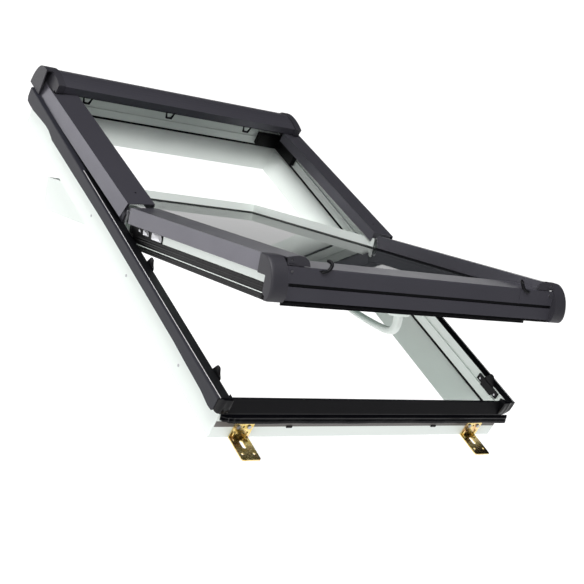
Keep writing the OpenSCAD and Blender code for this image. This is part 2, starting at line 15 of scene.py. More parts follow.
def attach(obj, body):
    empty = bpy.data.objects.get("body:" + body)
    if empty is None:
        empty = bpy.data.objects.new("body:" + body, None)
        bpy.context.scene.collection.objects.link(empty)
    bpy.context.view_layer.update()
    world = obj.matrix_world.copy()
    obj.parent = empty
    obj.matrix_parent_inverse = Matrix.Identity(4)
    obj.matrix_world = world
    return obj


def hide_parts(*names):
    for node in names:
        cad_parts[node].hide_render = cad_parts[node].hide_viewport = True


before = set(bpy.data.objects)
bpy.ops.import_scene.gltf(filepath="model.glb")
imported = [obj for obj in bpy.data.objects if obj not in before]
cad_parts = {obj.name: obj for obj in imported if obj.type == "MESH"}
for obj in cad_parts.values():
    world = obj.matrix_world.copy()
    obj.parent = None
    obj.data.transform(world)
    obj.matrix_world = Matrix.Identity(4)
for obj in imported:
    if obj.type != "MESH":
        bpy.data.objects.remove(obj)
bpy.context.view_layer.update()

bl_info = {
    "name": "Roof window finishes",
    "version": (1, 0, 0),
    "blender": (4, 5, 0),
    "location": "View3D > Sidebar > Roof window",
    "description": "Finishes and soft parts of a centre-pivot roof window, with its studio",
    "category": "Object",
}

# the sash stands open by this angle about the pivot line, in metres above the mounting plane
OPEN = math.radians(25.4)
PIVOT_Z = 0.125
# where the camera stands, and its right, down and ahead directions
CAMERA_AT = (-1.64298, -1.97361, 1.33086)
CAMERA_AXES = ((0.796117, -0.444209, 0.410945), (0.064662, -0.612754, -0.787624), (0.601677, 0.653614, -0.459101))
MM = 0.001


# ---------------------------------------------------------------- node wiring
class Wire:
    """A value in a node tree: arithmetic on it adds Math nodes."""

    def __init__(self, tree, socket):
        self.tree, self.socket = tree, socket

    def _math(self, operation, first, second=None):
        n = self.tree.nodes.new("ShaderNodeMath")
        n.operation = operation
        for slot, value in zip(n.inputs, (first, second)):
            if isinstance(value, Wire):
                self.tree.links.new(value.socket, slot)
            elif value is not None:
                slot.default_value = value
        return Wire(self.tree, n.outputs[0])

    def __add__(self, other):
        return self._math("ADD", self, other)

    def __sub__(self, other):
        return self._math("SUBTRACT", self, other)

    def __rsub__(self, other):
        return self._math("SUBTRACT", other, self)

    def __mul__(self, other):
        return self._math("MULTIPLY", self, other)

    def __abs__(self):
        return self._math("ABSOLUTE", self)

    def above(self, level):
        return self._math("GREATER_THAN", self, level)

    def below(self, level):
        return self._math("LESS_THAN", self, level)

    def clamp(self):
        w = self._math("MINIMUM", self, 1.0)
        return w._math("MAXIMUM", w, 0.0)

    __radd__, __rmul__ = __add__, __mul__


class Finish:
    """A material under construction; every node comes from node()."""

    def __init__(self, name):
        self.material = bpy.data.materials.new(name)
        self.material.use_nodes = True
        self.tree = self.material.node_tree
        self.tree.nodes.clear()
        self.out = self.tree.nodes.new("ShaderNodeOutputMaterial")
        self.place = self.node("ShaderNodeTexCoord")["Object"]

    def node(self, kind, settings=None, **sockets):
        """Adds a node, sets its settings first, then the values or links of its sockets."""
        n = self.tree.nodes.new(kind)
        for key, value in (settings or {}).items():
            if key == "stops":
                ramp = n.color_ramp
                while len(ramp.elements) < len(value):
                    ramp.elements.new(0.5)
                for e, (at, colour) in zip(ramp.elements, value):
                    e.position, e.color = at, colour
            else:
                setattr(n, key, value)
        for key, value in sockets.items():
            index = int(key[1:]) if key[0] == "i" and key[1:].isdigit() else key.replace("_", " ")
            slot = n.inputs[index]
            if isinstance(value, Wire):
                self.tree.links.new(value.socket, slot)
            else:
                slot.default_value = value
        return {o.name: Wire(self.tree, o) for o in n.outputs if o.enabled}

    def noise(self, scale, detail=2.0, rough=0.5, at=None):
        return self.node("ShaderNodeTexNoise", None, Vector=at or self.place, Scale=scale, Detail=detail,
                         Roughness=rough)["Fac"]

    def ramp(self, fac, *stops):
        return self.node("ShaderNodeValToRGB", {"stops": [(p, (*c, 1) if len(c) == 3 else c) for p, c in stops]},
                         Fac=fac)["Color"]

    def mix(self, fac, a, b):
        return self.node("ShaderNodeMix", {"data_type": "RGBA"}, Factor=fac, i6=a, i7=b)["Result"]

    def axis(self, index):
        return self.node("ShaderNodeSeparateXYZ", None, Vector=self.place)["XYZ"[index]]

    def bump(self, height, strength, distance):
        return self.node("ShaderNodeBump", None, Height=height, Strength=strength, Distance=distance)["Normal"]

    def shader(self, **sockets):
        """A principled surface with these socket values, joined to the output."""
        self.surface(self.node("ShaderNodeBsdfPrincipled", None, **sockets)["BSDF"])

    def surface(self, shader):
        self.tree.links.new(shader.socket, self.out.inputs["Surface"])


def rgb(colour):
    return (colour[0], colour[1], colour[2], 1.0)



# ---------------------------------------------------------------- finishes
def pvc(name, tint=(0.825, 0.88, 0.84), rough=0.3):
    """Satin white extruded PVC: faint draw lines along the bar, slight clouding of tint and gloss."""
    m = Finish(name)
    cloud = m.noise(6.0, 3.0)
    stretched = m.node("ShaderNodeMapping", None, Vector=m.place, Scale=(900, 900, 3))["Vector"]
    lines = m.noise(1.0, 2.0, 0.6, at=stretched)
    colour = m.mix(cloud, rgb([c * 0.975 for c in tint]), rgb([min(1, c * 1.02) for c in tint]))
    m.shader(Base_Color=colour, Roughness=cloud * 0.08 + rough, Specular_IOR_Level=0.45,
             Normal=m.bump(lines + m.noise(260.0, 2.0) * 0.6, 0.06, 0.0004))
    return m.material


def coated_sheet(name, tint, rough=0.36, metal=0.5):
    """Anthracite coated aluminium: fine orange peel, faint sparkle, slight smears of gloss."""
    m = Finish(name)
    peel = m.noise(1900.0, 2.0)
    fleck = m.noise(5200.0, 1.0)
    smear = m.noise(9.0, 4.0, 0.6)
    colour = m.mix(fleck, rgb([c * 0.82 for c in tint]), rgb([c * 1.25 for c in tint]))
    m.shader(Base_Color=colour, Metallic=metal, Roughness=smear * 0.14 + peel * 0.05 + (rough - 0.09),
             Normal=m.bump(peel, 0.16, 0.0003))
    return m.material


def strip_coat(name, tint=(0.018, 0.018, 0.024)):
    """Dark strip beside the frame: matt. Low down its flange is painted near-black, partly its own dark colour and
    partly painted shade under the lower covers, and a pale painted highlight runs along the bend.
    """
    m = Finish(name)
    peel, smear = m.noise(1900.0, 2.0), m.noise(12.0, 4.0, 0.6)
    across = abs(m.axis(0))
    lower = m.axis(1).below(0.2)
    # mask of the flange below Y 0.2 m, which is painted near-black: partly its own dark colour, partly painted
    # shade under the lower covers
    flange = across.below(0.4038) * lower
    # painted highlight: a thin pale line along the bend, low down, standing in for light caught on the rounded
    # edge
    line = (1.0 - abs(across - 0.4052) * 900.0).clamp() * lower * m.axis(2).above(0.0985)
    colour = m.mix(smear, rgb([c * 0.8 for c in tint]), rgb([c * 1.25 for c in tint]))
    # painted shade: the lower flange darkened to near-black
    colour = m.mix(flange, colour, rgb((0.003, 0.003, 0.004)))
    # painted highlight: pale colour along the bend
    colour = m.mix(line, colour, rgb((0.8, 0.8, 0.8)))
    m.shader(Base_Color=colour, Roughness=smear * 0.14 + 0.4, Specular_IOR_Level=0.22,
             Normal=m.bump(peel, 0.12, 0.0003))
    return m.material


def grained_plastic(name, tint, rough=0.5, grain=1300.0, depth=0.3, gloss=0.4):
    """Moulded plastic with a fine eroded grain that also varies its gloss."""
    m = Finish(name)
    cells = m.node("ShaderNodeTexVoronoi", {"feature": "F1"}, Vector=m.place, Scale=grain)["Distance"]
    cloud = m.noise(14.0, 3.0)
    colour = m.mix(cloud, rgb([c * 0.85 for c in tint]), rgb([c * 1.15 for c in tint]))
    m.shader(Base_Color=colour, Roughness=cells * 0.16 + cloud * 0.08 + (rough - 0.1), Specular_IOR_Level=gloss,
             Normal=m.bump(cells, depth, 0.0004))
    return m.material


def rubber(name, tint=(0.0025, 0.0025, 0.003), rough=0.34, coat=0.0):
    """EPDM rubber: nearly black, with long soft ripples and a dusty bloom in places."""
    m = Finish(name)
    ripple = m.noise(38.0, 3.0, 0.6)
    bloom = m.noise(7.0, 5.0, 0.65)
    colour = m.mix((bloom - 0.52).clamp() * 2.0, rgb(tint), rgb([c + 0.005 for c in tint]))
    m.shader(Base_Color=colour, Roughness=bloom * 0.2 + (rough - 0.1), Specular_IOR_Level=0.14, Coat_Weight=coat,
             Coat_Roughness=0.08, Normal=m.bump(ripple + m.noise(700.0, 2.0) * 0.05, 0.25, 0.004))
    return m.material


def bright_steel(name, tint=(0.66, 0.67, 0.69), rough=0.28):
    """Zinc-plated steel with a soft spangle and fine tool marks."""
    m = Finish(name)
    spangle = m.node("ShaderNodeTexVoronoi", {"feature": "F1"}, Vector=m.place, Scale=420.0)["Color"]
    cloud = m.noise(60.0, 4.0, 0.6)
    colour = m.mix(cloud, rgb([c * 0.8 for c in tint]), rgb([min(1, c * 1.1) for c in tint]))
    shade = m.node("ShaderNodeRGBToBW", None, Color=spangle)["Val"]
    m.shader(Base_Color=colour, Metallic=1.0, Roughness=shade * 0.12 + cloud * 0.1 + (rough - 0.1),
             Normal=m.bump(m.noise(2600.0, 2.0), 0.08, 0.0002))
    return m.material


def yellow_zinc(name):
    """Yellow-passivated zinc: gold with drifting olive, rose and pale patches of interference colour."""
    m = Finish(name)
    drift = m.noise(55.0, 4.0, 0.62)
    fine = m.noise(240.0, 3.0)
    colour = m.ramp(drift * 0.75 + fine * 0.25, (0.22, (0.30, 0.27, 0.07)), (0.40, (0.72, 0.52, 0.16)),
                    (0.52, (0.93, 0.76, 0.36)), (0.62, (0.74, 0.42, 0.20)), (0.74, (0.42, 0.44, 0.16)))
    m.shader(Base_Color=colour, Metallic=1.0, Roughness=fine * 0.16 + 0.18, Normal=m.bump(fine, 0.12, 0.0004))
    return m.material


def pane(name, tint=(0.80, 0.86, 0.84), body=(0.012, 0.016, 0.016)):
    """Float glass: clear with a green cast straight on, mirror-like at a low angle, with faint dust."""
    m = Finish(name)
    clear = m.node("ShaderNodeBsdfTransparent", None, Color=rgb(tint))["BSDF"]
    dust = m.noise(5.0, 5.0, 0.6)
    gloss = m.node("ShaderNodeBsdfPrincipled", None,
                   Base_Color=m.mix(dust, rgb(body), rgb([c + 0.02 for c in body])),
                   Metallic=0.0, Roughness=dust * 0.02 + 0.015, Specular_IOR_Level=1.0)["BSDF"]
    edge = m.node("ShaderNodeFresnel", None, IOR=1.75)["Fac"]
    m.surface(m.node("ShaderNodeMixShader", None, Fac=(edge * 0.9 + 0.1).clamp(), i1=clear, i2=gloss)["Shader"])
    return m.material


def apron_shadow_band(name):
    """Grey-brown band on the sill front just below the apron: painted shadow of the apron, slightly chalky."""
    m = Finish(name)
    chalk = m.noise(30.0, 5.0, 0.6)
    # painted shadow: grey-brown colour standing in for the apron's shadow on the white sill
    m.shader(Base_Color=m.mix(chalk, rgb((0.115, 0.105, 0.10)), rgb((0.145, 0.135, 0.125))),
             Roughness=chalk * 0.2 + 0.4,
             Normal=m.bump(m.noise(900.0), 0.1, 0.0003))
    return m.material


# ---------------------------------------------------------------- surfaces
def closed_pose(points):
    """Turns points of the closed sash by the opening angle about the pivot line."""
    p = np.array(points, dtype=float)
    y, z = p[..., 1].copy(), p[..., 2] - PIVOT_Z
    c, s = math.cos(OPEN), math.sin(OPEN)
    p[..., 1] = y * c + z * s
    p[..., 2] = -y * s + z * c + PIVOT_Z
    return p


def make_mesh(name, points, faces, material, smooth=True):
    """Puts arrays of points and faces into a mesh object at the origin, with its normals facing out."""
    mesh = bpy.data.meshes.new(name)
    mesh.from_pydata(np.asarray(points, dtype=float).reshape(-1, 3).tolist(), [],
                     [list(map(int, f)) for f in faces])
    work = bmesh.new()
    work.from_mesh(mesh)
    bmesh.ops.remove_doubles(work, verts=work.verts, dist=1e-6)
    bmesh.ops.dissolve_degenerate(work, edges=work.edges, dist=1e-7)
    bmesh.ops.recalc_face_normals(work, faces=work.faces)
    work.to_mesh(mesh)
    work.free()
    mesh.materials.append(material)
    mesh.polygons.foreach_set("use_smooth", [smooth] * len(mesh.polygons))
    obj = bpy.data.objects.new(name, mesh)
    bpy.context.collection.objects.link(obj)
    return obj


def grid_faces(rows, cols, wrap=False):
    """Quads between neighbouring rows and columns of a grid of points; wrap joins the last column to the first."""
    r, c = np.meshgrid(np.arange(rows - 1), np.arange(cols if wrap else cols - 1), indexing="ij")
    n = (c + 1) % cols
    return np.stack([r * cols + c, r * cols + n, (r + 1) * cols + n, (r + 1) * cols + c], -1).reshape(-1, 4)


def tube(sections, wrap=False):
    """Points and faces of closed profiles joined in a row; wrap joins the last row to the first."""
    p = np.asarray(sections, dtype=float)
    rows, cols = p.shape[:2]
    if wrap:
        p = np.concatenate([p, p[:1]])
        rows += 1
    faces = grid_faces(rows, cols, wrap=True).tolist()
    if not wrap:
        faces.append(list(range(cols)))
        faces.append([(rows - 1) * cols + i for i in range(cols - 1, -1, -1)])
    return p.reshape(-1, 3), faces


def piece(name, parts, material, body, replaced=()):
    """One object from several tubes, riding with a body, in place of the nodes given."""
    points, faces, start = [], [], 0
    for pts, fcs in parts:
        points.append(pts)
        faces += [[i + start for i in f] for f in fcs]
        start += len(pts)
    obj = make_mesh(name, np.concatenate(points), faces, material)
    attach(obj, body)
    if replaced:
        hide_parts(*replaced)
    return obj


def paint(name):
    return bpy.data.materials[name]


def bezier(a, b, c, d, n):
    """Cubic curve through its four control points, as n points."""
    t = np.linspace(0, 1, n)[:, None]
    a, b, c, d = (np.asarray(v, dtype=float) for v in (a, b, c, d))
    return a * (1 - t) ** 3 + 3 * b * t * (1 - t) ** 2 + 3 * c * t * t * (1 - t) + d * t ** 3


def rounded(points, radius, n=5):
    """Each corner of a closed profile made a quadratic curve, cut back by the radius."""
    p = np.asarray(points, dtype=float)
    out = []
    for i in range(len(p)):
        a, b, c = p[i - 1], p[i], p[(i + 1) % len(p)]
        la, lc = np.linalg.norm(a - b), np.linalg.norm(c - b)
        k = min(radius, la * 0.45, lc * 0.45)
        s, e = b + (a - b) / la * k, b + (c - b) / lc * k
        t = np.linspace(0, 1, n)[:, None]
        out.append(s * (1 - t) ** 2 + 2 * b * t * (1 - t) + e * t * t)
    return np.concatenate(out)


def soften(obj, width, segments, angle):
    """Rounds the edges that turn more than the given angle, with shading that keeps flats flat."""
    mod = obj.modifiers.new("rounded edges", "BEVEL")
    mod.width, mod.segments, mod.limit_method = width, segments, "ANGLE"
    mod.angle_limit, mod.harden_normals = math.radians(angle), True


# ---------------------------------------------------------------- sizes and colours a user may change
class WindowColours(bpy.types.PropertyGroup):
    frame_white: FloatVectorProperty(name="Frame white", description="Colour of the PVC bars", subtype="COLOR",
                                     size=3,
                                     min=0, max=1, default=(0.825, 0.88, 0.84))
    cover_grey: FloatVectorProperty(name="Cover grey", description="Colour of the coated metal covers",
                                    subtype="COLOR",
                                    size=3, min=0, max=1, default=(0.068, 0.066, 0.08))
    cap_grey: FloatVectorProperty(name="Cap grey", description="Colour of the moulded caps", subtype="COLOR",
                                  size=3,
                                  min=0, max=1, default=(0.024, 0.023, 0.029))
    cover_gloss: FloatProperty(name="Cover roughness", description="Roughness of the coated covers", default=0.36,
                               min=0.05, max=1)


class StudioSizes(bpy.types.PropertyGroup):
    floor_drop: FloatProperty(name="Floor drop", description="Distance of the floor below the mounting plane",
                              default=0.9,
                              unit="LENGTH", min=0.3)
    floor_size: FloatProperty(name="Floor size", description="Half width of the floor", default=40.0,
                              unit="LENGTH")
    floor_glow: FloatProperty(name="Floor glow", description="Light given off by the floor, which keeps it pale",
                              default=0.9, min=0)
    side_light: FloatProperty(name="Side light", description="Power of the soft light on the left", default=32.0,
                              min=0, unit="POWER")
    front_light: FloatProperty(name="Front light", description="Power of the soft light in front", default=24.0,
                               min=0, unit="POWER")
    top_light: FloatProperty(name="Top light", description="Power of the soft light overhead", default=150.0,
                             min=0, unit="POWER")
    lens: FloatProperty(name="Lens", description="Focal length of the camera in mm", default=72.208, min=1)


class RW_OT_finishes(bpy.types.Operator):
    """Gives every carried-over solid its own worked-out material"""

    bl_idname = "roof_window.finishes"
    bl_label = "Finishes"

    def execute(self, context):
        c = context.scene.roof_window
        white = pvc("frame_white", tuple(c.frame_white))
        inner_white = pvc("sash_white", tuple(c.frame_white), rough=0.26)
        sheet = coated_sheet("cover_coat", tuple(c.cover_grey), c.cover_gloss)
        strip = strip_coat("strip_coat")
        cap = grained_plastic("cap_grain", tuple(c.cap_grey))
        black = grained_plastic("black_moulding", (0.003, 0.003, 0.004), 0.42, 1700.0, 0.2, 0.16)
        seal = rubber("seal_rubber")
        glossy = rubber("apron_rubber", (0.002, 0.002, 0.003), 0.22, 0.12)
        steel = bright_steel("bright_zinc", (0.5, 0.5, 0.52), 0.36)
        table = {
            white: ["frame_head", "frame_sill", "frame_jamb_left", "frame_jamb_right"],
            inner_white: ["sash_stile_left", "sash_stile_right", "sash_top_rail", "sash_bottom_rail",
                          "handle_plate", "handle"],
            sheet: ["upper_cover_left", "upper_cover_right", "hood", "lower_cover_left", "lower_cover_right",
                    "bottom_cover_upper", "bottom_cover_lower"],
            strip: ["side_strip_left", "side_strip_right"],
            cap: ["hood_cap_left", "hood_cap_right", "corner_cap_left", "corner_cap_right", "cover_end_left",
                  "cover_end_right"],
            black: ["sill_cap", "hood_clips", "corner_block_left", "corner_block_right", "striker_left",
                    "striker_right",
                    "bottom_carrier", "bar_guides", "apron_clips", "cover_screws"],
            seal: ["frame_gasket", "sash_gasket", "glass_bead", "bottom_rubber"],
            glossy: ["sill_apron"],
            steel: ["side_screws", "striker_screws", "cap_screws", "bracket_screws", "hinge_pin_left",
                    "hinge_pin_right",
                    "hinge_plate_left", "hinge_plate_right", "hinge_arm_left", "hinge_arm_right", "lock_bar_left",
                    "lock_bar_right"],
            yellow_zinc("yellow_zinc"): ["bracket_sill_left", "bracket_sill_right", "bracket_head_left",
                                         "bracket_head_right"],
            pane("float_glass"): ["glass_outer", "glass_inner"],
            coated_sheet("spacer_bar", (0.2, 0.2, 0.21), 0.4, 0.9): ["glass_spacer"],
            # the sill band carries the painted shadow of the apron
            apron_shadow_band("sill_band_paint"): ["sill_band"],
        }
        for material, names in table.items():
            for name in names:
                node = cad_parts[name]
                node.data.materials.clear()
                node.data.materials.append(material)
        left = set(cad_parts) - {n for names in table.values() for n in names}
        if left:
            raise RuntimeError(f"nodes with no finish: {sorted(left)}")
        return {"FINISHED"}


class RW_OT_corner_caps(bpy.types.Operator):
    """Moulded corner caps: a bulging curve from top to toe, offset inwards by the wall, with a rounded rim"""

    bl_idname = "roof_window.corner_caps"
    bl_label = "Corner caps"

    def execute(self, context):
        o, x0, x1, wall, rim = -590.0, 367.0, 405.0, 2.4, 8.0
        outer = np.concatenate([np.linspace((o + 24, 141.5), (o + 10, 141.3), 4)[:-1],
                                bezier((o + 10, 141.3), (o - 2, 140), (o - 20, 124), (o - 25, 98), 22)[:-1],
                                bezier((o - 25, 98), (o - 29, 80), (o - 26, 62), (o - 16, 57.2), 16)])
        step = np.gradient(outer, axis=0)
        normal = np.stack([step[:, 1], -step[:, 0]], 1) / np.linalg.norm(step, axis=1)[:, None]
        if normal[20, 0] > 0:
            normal = -normal
        inner = outer - normal * wall
        inner[0] = (o + 24, 141.5 - wall)
        inner[-1] = outer[-1] + (wall, 0)
        k = len(outer)
        rear = np.array([(o + 24, 138.6), (o + 24, 103.4), (o - 2, 103.4), (o - 2, 70), (o - 10, 66),
                         (o - 10, 57.2)])
        at = np.concatenate([[0], np.cumsum(np.linalg.norm(np.diff(rear, axis=0), axis=1))])
        back = np.stack([np.interp(np.linspace(0, at[-1], k), at, rear[:, i]) for i in (0, 1)], 1)
        front = inner.copy()
        front[:, 0] = np.maximum(front[:, 0], o - 12 + 1.2)
        for side, label in ((-1, "left"), (1, "right")):
            rows = []
            for x, hollow in [(x0, front), (x0 + 2, front), (x0 + 2.02, inner), (x1 - 2.7, inner),
                              (x1 - 2.68, back)]:
                rows.append((x, self.shrunk(outer, normal, x, x1, rim), hollow))
            for a in np.linspace(0, 1, 9)[1:]:
                x = x1 - 2.68 + 2.68 * math.sin(a * math.pi / 2)
                rows.append((x, self.shrunk(outer, normal, x, x1, rim), back))
            extra = [(x, self.shrunk(outer, normal, x, x1, rim), inner)
                     for x in np.linspace(x1 - rim, x1 - 2.9, 8)]
            rows = sorted(rows[:3] + extra + rows[3:], key=lambda row: row[0])
            sections = []
            for x, out, hollow in rows:
                ring = np.concatenate([out, hollow[::-1]])
                sections.append(np.column_stack([np.full(len(ring), side * x), ring]) * MM)
            obj = piece(f"cap_{label}", [tube(closed_pose(sections))], paint("cap_grain"), "sash",
                        (f"corner_cap_{label}",))
            soften(obj, 0.0006, 2, 50)
        return {"FINISHED"}

    def shrunk(self, outer, normal, x, x1, rim):
        """The outer curve drawn in along its normals by part of a quarter circle over the last stretch of X."""
        d = max(0.0, x - (x1 - rim)) / rim
        return outer - normal * (1 - math.sqrt(max(0.0, 1 - d * d))) * rim * 0.35


class RW_OT_apron(bpy.types.Operator):
    """Rubber apron: a hooked lip whose drop and fullness wave along X, gathered and curled at its left end"""

    bl_idname = "roof_window.apron"
    bl_label = "Rubber apron"

    def execute(self, context):
        x = np.concatenate([np.linspace(-386, -330, 60), np.linspace(-328, 411, 220)])
        gather = np.exp(-np.maximum(0, x + 384) / 14.0)
        crease = sum(size * np.exp(-((x + at) / reach) ** 2)
                     for size, at, reach in ((1.0, 371, 4.0), (0.7, 357, 5.0), (0.4, 343, 6.0)))
        wave = 0.35 * np.sin(x / 41.0) + 0.25 * np.sin(x / 17.3 + 1.0)
        profile = rounded([(0.0, 60.9), (-1.8, 60.9), (-4.0, 57.2), (-5.2, 54.6), (-5.0, 52.6), (-7.2, 47.5),
                           (-8.4, 43.5), (-7.9, 41.6),
                           (-6.3, 41.8), (-5.4, 44.0), (-4.4, 47.8), (-2.6, 52.2), (-0.2, 55.6)], 1.6, 5)
        down = (60.9 - profile[:, 1]) / 19.3
        sections = []
        for i, at in enumerate(x):
            y = (profile[:, 0] * (1 - 0.25 * gather[i]) + wave[i] * down * 0.8
                 - crease[i] * 1.6 * np.sin(down * 3.1) + gather[i] * 1.2)
            z = profile[:, 1] + wave[i] * down ** 2 * 0.5 + gather[i] * 7.0 * down + crease[i] * 1.2 * down
            y = np.minimum(y, 0.0)
            sections.append(np.column_stack([np.full(len(y), at + crease[i] * 0.8), y - 590.02, z]) * MM)
        piece("apron", [tube(sections)], paint("apron_rubber"), "frame", ("sill_apron",))
        return {"FINISHED"}


class RW_OT_seals(bpy.types.Operator):
    """Rubber seals: lipped profiles carried round the sash, the frame and the glass with mitred corners"""

    bl_idname = "roof_window.seals"
    bl_label = "Seals"

    def loop(self, profile, corner, closed=True, tilted=False, steps=24):
        """A profile (outward, height) carried round a rectangle, whose edges corner(outward) gives."""
        rows = []
        l, r, b, t = corner(profile[:, 0])
        z = profile[:, 1]
        low_l, low_r = np.stack([l, b, z], 1), np.stack([r, b, z], 1)
        top_l, top_r = np.stack([l, t, z], 1), np.stack([r, t, z], 1)
        stops = [top_l, low_l, low_r, top_r]
        pairs = list(zip(stops, stops[1:])) + ([(top_r, top_l)] if closed else [])
        for a, c in pairs:
            for k in np.linspace(0, 1, steps)[:-1]:
                rows.append(a + (c - a) * k)
        if not closed:
            rows.append(top_r)
        return tube(closed_pose(np.array(rows) * MM) if tilted else np.array(rows) * MM, wrap=closed)

    def execute(self, context):
        rubbery = paint("seal_rubber")
        sx, sb, split = 377.0, -573.0, -20.0
        upper = rounded([(-2.8, 68.2), (0.05, 68.2), (0.05, 64.9), (0.7, 64.9), (1.0, 69.0), (0.5, 71.4),
                         (1.0, 73.6), (0.4, 75.2), (0.4, 77.0), (1.0, 78.6), (0.5, 81.0),
                         (1.0, 83.2), (0.2, 83.8), (-2.8, 83.8)], 0.5, 4)
        lower = rounded([(-6.8, 50.5), (-2.2, 50.5), (-0.6, 52.2), (-1.4, 54.4), (-0.7, 56.6), (-1.4, 58.8),
                         (-0.6, 61.4), (-1.0, 62.8),
                         (-6.8, 62.7)], 0.7, 4)
        plate = rounded([(0.1, 83.4), (1.15, 83.4), (1.15, 101.4), (0.1, 101.4)], 0.3, 4)
        edge_u = lambda d: (-sx - d, sx + d, sb - np.minimum(d, 0.35), np.full_like(d, split))
        edge_l = lambda d: (-sx - d, sx + d, sb - np.minimum(d, -1.7), np.full_like(d, split))
        sash = [self.loop(upper, edge_u, False, True), self.loop(lower, edge_l, False, True)]
        for side in (-1, 1):
            sash.append(tube(closed_pose([np.column_stack([side * (sx + plate[:, 0]), np.full(len(plate), y),
                                                           plate[:, 1]]) * MM
                                          for y in np.linspace(-169, -21, 12)])))
        piece("sash_seal", sash, rubbery, "sash", ("sash_gasket",))
        ring = rounded([(-6.0, 50.5), (-0.4, 50.5), (-0.2, 55.6), (-4.0, 55.6), (-5.0, 54.4), (-6.2, 54.0)], 1.0,
                       4)
        piece("frame_seal", [self.loop(ring, lambda d: (-384 - d, 384 + d, -584 - d, 584 + d))], rubbery, "frame",
              ("frame_gasket",))
        bead = rounded([(-8.0, 111.05), (0.0, 111.05), (0.0, 113.6), (-1.2, 114.3), (-4.0, 112.8), (-7.9, 111.5)],
                       0.6, 4)
        edge_b = lambda d: (-324.0 - d, 324.0 + d, -519.6 - d, 536.0 + d)
        piece("glass_seal", [self.loop(bead, edge_b, True, True)], rubbery, "sash", ("glass_bead",))
        lip = rounded([(-600.4, 62.0), (-599.3, 62.0), (-599.3, 57.5), (-599.4, 56.2), (-600.4, 56.2)], 0.4, 4)
        toe = rounded([(-601.5, 57.0), (-599.4, 57.0), (-599.4, 53.0), (-600.2, 50.6), (-601.5, 50.8),
                       (-601.0, 53.6)], 0.6, 4)
        parts = []
        for profile, a, b in ((lip, -370.5, 370.5), (toe, -366.5, 292.0)):
            rows = [np.column_stack([np.full(len(profile), x), profile[:, 0],
                                     profile[:, 1] + 0.12 * math.sin(x / 33)]) * MM
                    for x in np.linspace(a, b, 90)]
            parts.append(tube(closed_pose(rows)))
        piece("bottom_seal", parts, rubbery, "sash", ("bottom_rubber",))
        return {"FINISHED"}


class RW_OT_handle(bpy.types.Operator):
    """Handle: an oval section carried down the neck and round a bend into the lever, with its collar"""

    bl_idname = "roof_window.handle"
    bl_label = "Handle"

    def execute(self, context):
        y0 = -523.0
        path = np.concatenate([np.linspace((y0, 42.0), (y0, 18.0), 14)[:-1],
                               bezier((y0, 18.0), (y0 + 1, 1.0), (y0 + 10, -5.5), (y0 + 38, -4.0), 30)[:-1],
                               bezier((y0 + 38, -4.0), (y0 + 74, -2.0), (y0 + 112, 3.5), (y0 + 157, 11.0), 44)])
        run = np.concatenate([[0], np.cumsum(np.linalg.norm(np.diff(path, axis=0), axis=1))])
        t = run / run[-1]
        step = np.gradient(path, axis=0)
        step /= np.linalg.norm(step, axis=1)[:, None]
        across = np.stack([-step[:, 1], step[:, 0]], 1)
        tip = np.sqrt(np.clip((run[-1] - run) / 9.0, 0.0, 1.0)) * 0.985 + 0.015
        wide = np.interp(t, [0, 0.12, 0.3, 0.6, 1], [9.4, 9.0, 10.5, 11.5, 10.5]) * tip
        thick = np.interp(t, [0, 0.12, 0.3, 0.6, 1], [9.4, 9.0, 8.2, 6.6, 5.6]) * tip
        a = np.linspace(0, 2 * math.pi, 40, endpoint=False)
        power = lambda v: np.sign(v) * np.abs(v) ** 0.8
        rows = []
        for i in range(len(path)):
            u = thick[i] * power(np.sin(a))
            rows.append(np.column_stack([wide[i] * power(np.cos(a)), path[i, 0] + across[i, 0] * u,
                                         path[i, 1] + across[i, 1] * u]) * MM)
        lever = tube(closed_pose(rows))
        rose = np.array([(0.0, 42.9), (0.97, 42.9), (1.0, 40.5), (1.0, 37.5), (0.93, 34.4), (0.8, 33.2),
                         (0.0, 33.0)])
        rows = []
        for t in np.linspace(0, 2 * math.pi, 72, endpoint=False):
            edge = np.array([21 * power(math.cos(t)) + 8 * math.cos(t), 11.8 * math.sin(t)])
            hole = 10.7 * np.array([math.cos(t), math.sin(t)])
            flat = hole + (edge - hole) * rose[:, :1]
            rows.append(np.column_stack([flat[:, 0], y0 + flat[:, 1], rose[:, 1]]) * MM)
        piece("handle_rose", [tube(closed_pose(rows), wrap=True)], paint("sash_white"), "sash")
        piece("lever", [lever], paint("sash_white"), "handle", ("handle",))
        return {"FINISHED"}


class RW_OT_gussets(bpy.types.Operator):
    """Rubber gussets at the strip ends: a wall bulging by a half sine, its lower edge curling up to each side"""

    bl_idname = "roof_window.gussets"
    bl_label = "Corner gussets"

    def execute(self, context):
        v = np.linspace(0, 1, 26)
        for side, label in ((-1, "left"), (1, "right")):
            rows = []
            for x in np.linspace(375.2, 410.6, 44):
                low = 61.4 + 0.028 * (x - 390) ** 2 * (1 if x > 390 else 0.2)
                bulge = 1.1 + 3.4 / (1 + math.exp((x - 396) / 1.6))
                fold = 0.5 * math.sin(x / 2.6) * (1 if x < 398 else 0.2)
                out = np.column_stack([-590.3 - bulge * (0.35 + 0.65 * np.sin(v * math.pi) ** 0.6)
                                       - fold * np.sin(v * 3.1),
                                       100.6 + (low - 100.6) * v])
                out[0, 0] = out[-1, 0] = -590.6
                back = np.column_stack([np.full(12, -590.15), np.linspace(low, 100.6, 12)])
                ring = np.concatenate([out, back])
                rows.append(np.column_stack([np.full(len(ring), side * x), ring]) * MM)
            piece(f"gusset_{label}", [tube(rows)], paint("apron_rubber"), "frame")
        return {"FINISHED"}


